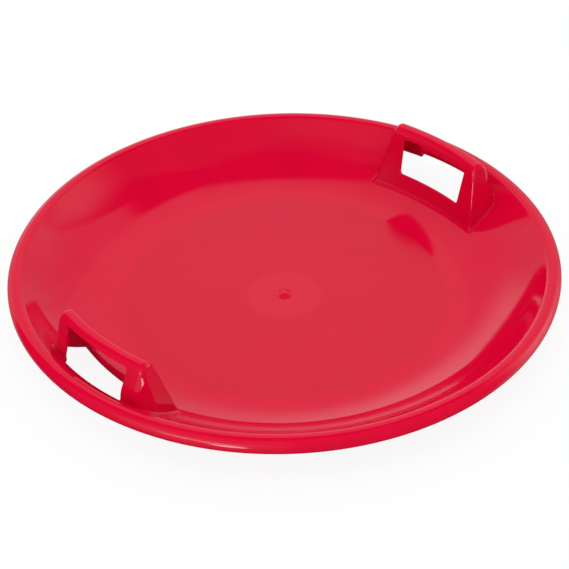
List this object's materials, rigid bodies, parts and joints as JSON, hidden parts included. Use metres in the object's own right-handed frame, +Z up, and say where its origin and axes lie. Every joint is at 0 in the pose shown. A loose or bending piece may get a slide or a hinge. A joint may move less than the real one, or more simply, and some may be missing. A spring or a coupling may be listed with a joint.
{
  "type": "saucer sled",
  "caption": "Round one-piece plastic saucer sled: flat floor, flared wall, rolled rim and opposed hollow hand grips with finger holes, to sit in and slide on snow.",
  "frame": {"origin": "middle of the flat underside", "axes": "+Z up, a rider faces +Y, the right grip is at +X"},
  "size_m": [0.6, 0.5999, 0.085],
  "materials": {
    "moulded_plastic": "high-gloss red, moulded in colour"
  },
  "bodies": {
    "root": {"floor_pan": "moulded_plastic", "gate_well": "moulded_plastic", "bowl_wall": "moulded_plastic", "rolled_rim": "moulded_plastic", "right_grip": "moulded_plastic", "right_front_post": "moulded_plastic", "right_rear_post": "moulded_plastic", "left_grip": "moulded_plastic", "left_front_post": "moulded_plastic", "left_rear_post": "moulded_plastic"}
  },
  "joints": []
}
